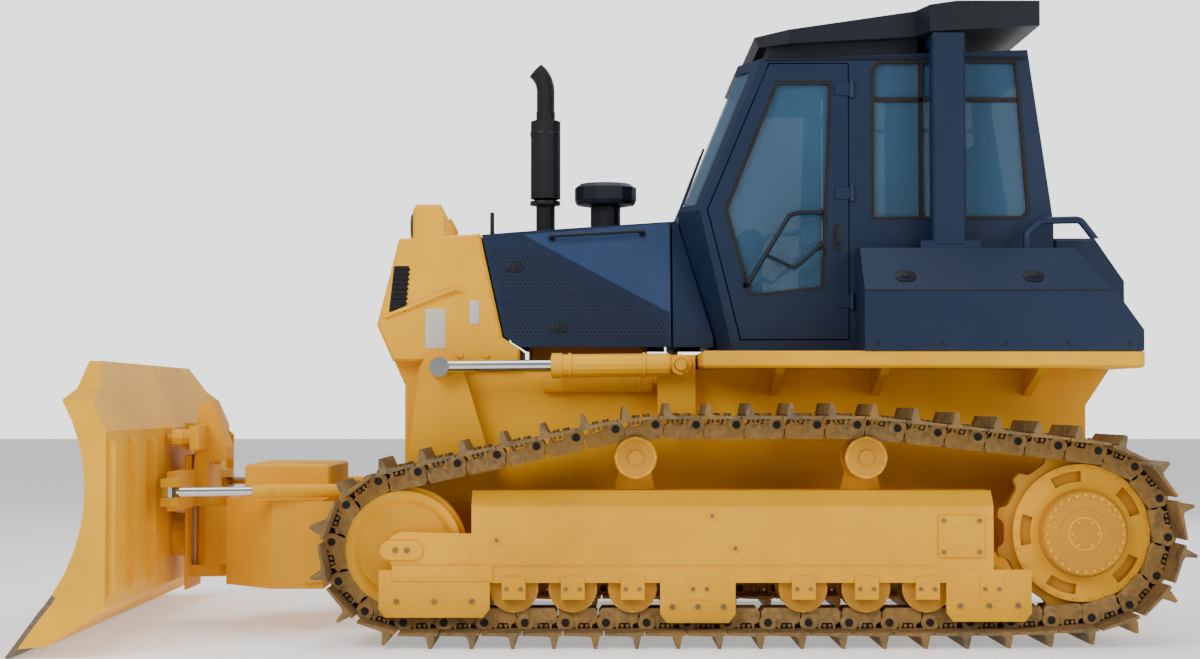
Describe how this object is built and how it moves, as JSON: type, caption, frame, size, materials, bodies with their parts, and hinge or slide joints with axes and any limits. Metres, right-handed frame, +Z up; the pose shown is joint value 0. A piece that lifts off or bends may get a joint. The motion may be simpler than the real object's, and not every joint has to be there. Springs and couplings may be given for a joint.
{
  "type": "bulldozer",
  "caption": "Crawler bulldozer with a closed cab, engine hood, two tracks and a full-width blade that lifts, angles and tilts on a C-frame.",
  "frame": {"origin": "on the ground, at the middle of the overall length and width", "axes": "-X is forward, towards the blade; +Y is the machine's right side; +Z is up"},
  "size_m": [5.3506, 3.275, 3.065],
  "materials": {
    "yellow_paint": "semi-gloss enamel, dusty",
    "dusty_yellow": "flat, dust-covered paint",
    "navy_paint": "semi-gloss enamel",
    "black_paint": "satin heat-proof paint",
    "worn_steel": "rusty worn track steel",
    "cast_iron": "rough casting with dust",
    "chrome_rod": "polished hard chrome",
    "cutting_steel": "scoured bare steel",
    "tinted_glass": "blue-green tinted glass",
    "seat_fabric": "woven seat cover",
    "dark_plastic": "grained plastic"
  },
  "bodies": {
    "chassis": {"main_frame": "yellow_paint", "platform": "yellow_paint", "radiator_guard": "yellow_paint", "track_frame_left": "yellow_paint", "track_frame_right": "yellow_paint", "engine_block": "dusty_yellow", "equalizer_bar": "dusty_yellow", "rear_hitch": "dusty_yellow", "idler_left": "dusty_yellow", "idler_right": "dusty_yellow", "track_left": "worn_steel", "track_right": "worn_steel", "sprocket_left": "cast_iron", "sprocket_right": "cast_iron", "hood_top": "navy_paint", "cab_shell": "navy_paint", "rops_frame": "navy_paint", "fuel_tank": "navy_paint", "fender_left": "navy_paint", "fender_right": "navy_paint", "front_grille": "black_paint", "exhaust_stack": "black_paint", "air_precleaner": "black_paint", "cab_roof": "black_paint", "windscreen": "tinted_glass", "rear_window": "tinted_glass", "side_window_left": "tinted_glass", "side_window_right": "tinted_glass", "seat_cushion": "seat_fabric", "seat_back": "seat_fabric", "seat_base": "dark_plastic", "control_console": "dark_plastic"},
    "c_frame": {"c_frame": "yellow_paint"},
    "blade_carrier": {"blade_carrier": "yellow_paint"},
    "blade": {"blade": "yellow_paint", "cutting_edge": "cutting_steel"},
    "door_left": {"door_left": "navy_paint", "door_glass_left": "tinted_glass"},
    "engine_door_left": {"engine_door_left": "navy_paint"},
    "door_right": {"door_right": "navy_paint", "door_glass_right": "tinted_glass"},
    "engine_door_right": {"engine_door_right": "navy_paint"},
    "lift_left_barrel": {"lift_left_barrel": "yellow_paint"},
    "lift_left_rod": {"lift_left_rod": "chrome_rod"},
    "lift_right_barrel": {"lift_right_barrel": "yellow_paint"},
    "lift_right_rod": {"lift_right_rod": "chrome_rod"},
    "angle_left_barrel": {"angle_left_barrel": "yellow_paint"},
    "angle_left_rod": {"angle_left_rod": "chrome_rod"},
    "angle_right_barrel": {"angle_right_barrel": "yellow_paint"},
    "angle_right_rod": {"angle_right_rod": "chrome_rod"},
    "tilt_barrel": {"tilt_barrel": "yellow_paint"},
    "tilt_rod": {"tilt_rod": "chrome_rod"}
  },
  "joints": [
    {"name": "blade_lift", "type": "hinge", "parent": "chassis", "child": "c_frame", "pos_m": [0.34, 0, 0.5], "axis": [0, 1, 0], "range_deg": [-10, 20]},
    {"name": "blade_angle", "type": "hinge", "parent": "c_frame", "child": "blade_carrier", "pos_m": [-2.04, 0, 0.45], "axis": [0, 0, 1], "range_deg": [-25, 25]},
    {"name": "blade_tilt", "type": "hinge", "parent": "blade_carrier", "child": "blade", "pos_m": [-2.2, 0, 0.45], "axis": [1, 0, 0], "range_deg": [-7, 7]},
    {"name": "door_left_swing", "type": "hinge", "parent": "chassis", "child": "door_left", "pos_m": [1.17, -0.632, 2], "axis": [0, 0, 1], "range_deg": [0, 90]},
    {"name": "engine_door_left_lift", "type": "hinge", "parent": "chassis", "child": "engine_door_left", "pos_m": [0, -0.36, 2.00739], "axis": [-0.9968, 0, -0.0803], "range_deg": [0, 80]},
    {"name": "lift_left_barrel_turn", "type": "hinge", "parent": "chassis", "child": "lift_left_barrel", "pos_m": [0.33, -0.655, 1.31], "axis": [0, 1, 0], "range_deg": [-12, 23]},
    {"name": "lift_left_rod_slide", "type": "slide", "parent": "lift_left_barrel", "child": "lift_left_rod", "axis": [-1, 0, -0.0085], "range_m": [-0.29, 0.15]},
    {"name": "angle_left_barrel_turn", "type": "hinge", "parent": "c_frame", "child": "angle_left_barrel", "pos_m": [-1.09, -0.495, 0.697], "axis": [0, 0, 1], "range_deg": [-8, 8]},
    {"name": "angle_left_rod_slide", "type": "slide", "parent": "angle_left_barrel", "child": "angle_left_rod", "axis": [-0.9642, -0.265, 0], "range_m": [-0.33, 0.33]},
    {"name": "door_right_swing", "type": "hinge", "parent": "chassis", "child": "door_right", "pos_m": [1.17, 0.632, 2], "axis": [0, 0, -1], "range_deg": [0, 90]},
    {"name": "engine_door_right_lift", "type": "hinge", "parent": "chassis", "child": "engine_door_right", "pos_m": [0, 0.36, 2.00739], "axis": [0.9968, 0, 0.0803], "range_deg": [0, 80]},
    {"name": "lift_right_barrel_turn", "type": "hinge", "parent": "chassis", "child": "lift_right_barrel", "pos_m": [0.33, 0.655, 1.31], "axis": [0, 1, 0], "range_deg": [-12, 23]},
    {"name": "lift_right_rod_slide", "type": "slide", "parent": "lift_right_barrel", "child": "lift_right_rod", "axis": [-1, 0, -0.0085], "range_m": [-0.29, 0.15]},
    {"name": "angle_right_barrel_turn", "type": "hinge", "parent": "c_frame", "child": "angle_right_barrel", "pos_m": [-1.09, 0.495, 0.697], "axis": [0, 0, 1], "range_deg": [-8, 8]},
    {"name": "angle_right_rod_slide", "type": "slide", "parent": "angle_right_barrel", "child": "angle_right_rod", "axis": [-0.9642, 0.265, 0], "range_m": [-0.33, 0.33]},
    {"name": "tilt_barrel_turn", "type": "hinge", "parent": "blade_carrier", "child": "tilt_barrel", "pos_m": [-2.172, -0.3, 0.95], "axis": [1, 0, 0], "range_deg": [-5, 5]},
    {"name": "tilt_rod_slide", "type": "slide", "parent": "tilt_barrel", "child": "tilt_rod", "axis": [0, 1, 0], "range_m": [-0.07, 0.07]}
  ],
  "couplings": [
    {"joint": "lift_left_barrel_turn", "follows": "blade_lift", "ratio": 1.0999},
    {"joint": "lift_left_rod_slide", "follows": "blade_lift", "m_per_rad": -0.7982},
    {"joint": "angle_left_barrel_turn", "follows": "blade_angle", "ratio": 0.2538},
    {"joint": "angle_left_rod_slide", "follows": "blade_angle", "m_per_rad": -0.7226},
    {"joint": "lift_right_barrel_turn", "follows": "blade_lift", "ratio": 1.0999},
    {"joint": "lift_right_rod_slide", "follows": "blade_lift", "m_per_rad": -0.7982},
    {"joint": "angle_right_barrel_turn", "follows": "blade_angle", "ratio": 0.2538},
    {"joint": "angle_right_rod_slide", "follows": "blade_angle", "m_per_rad": 0.7226},
    {"joint": "tilt_barrel_turn", "follows": "blade_tilt", "ratio": 0.5387},
    {"joint": "tilt_rod_slide", "follows": "blade_tilt", "m_per_rad": -0.4998}
  ]
}
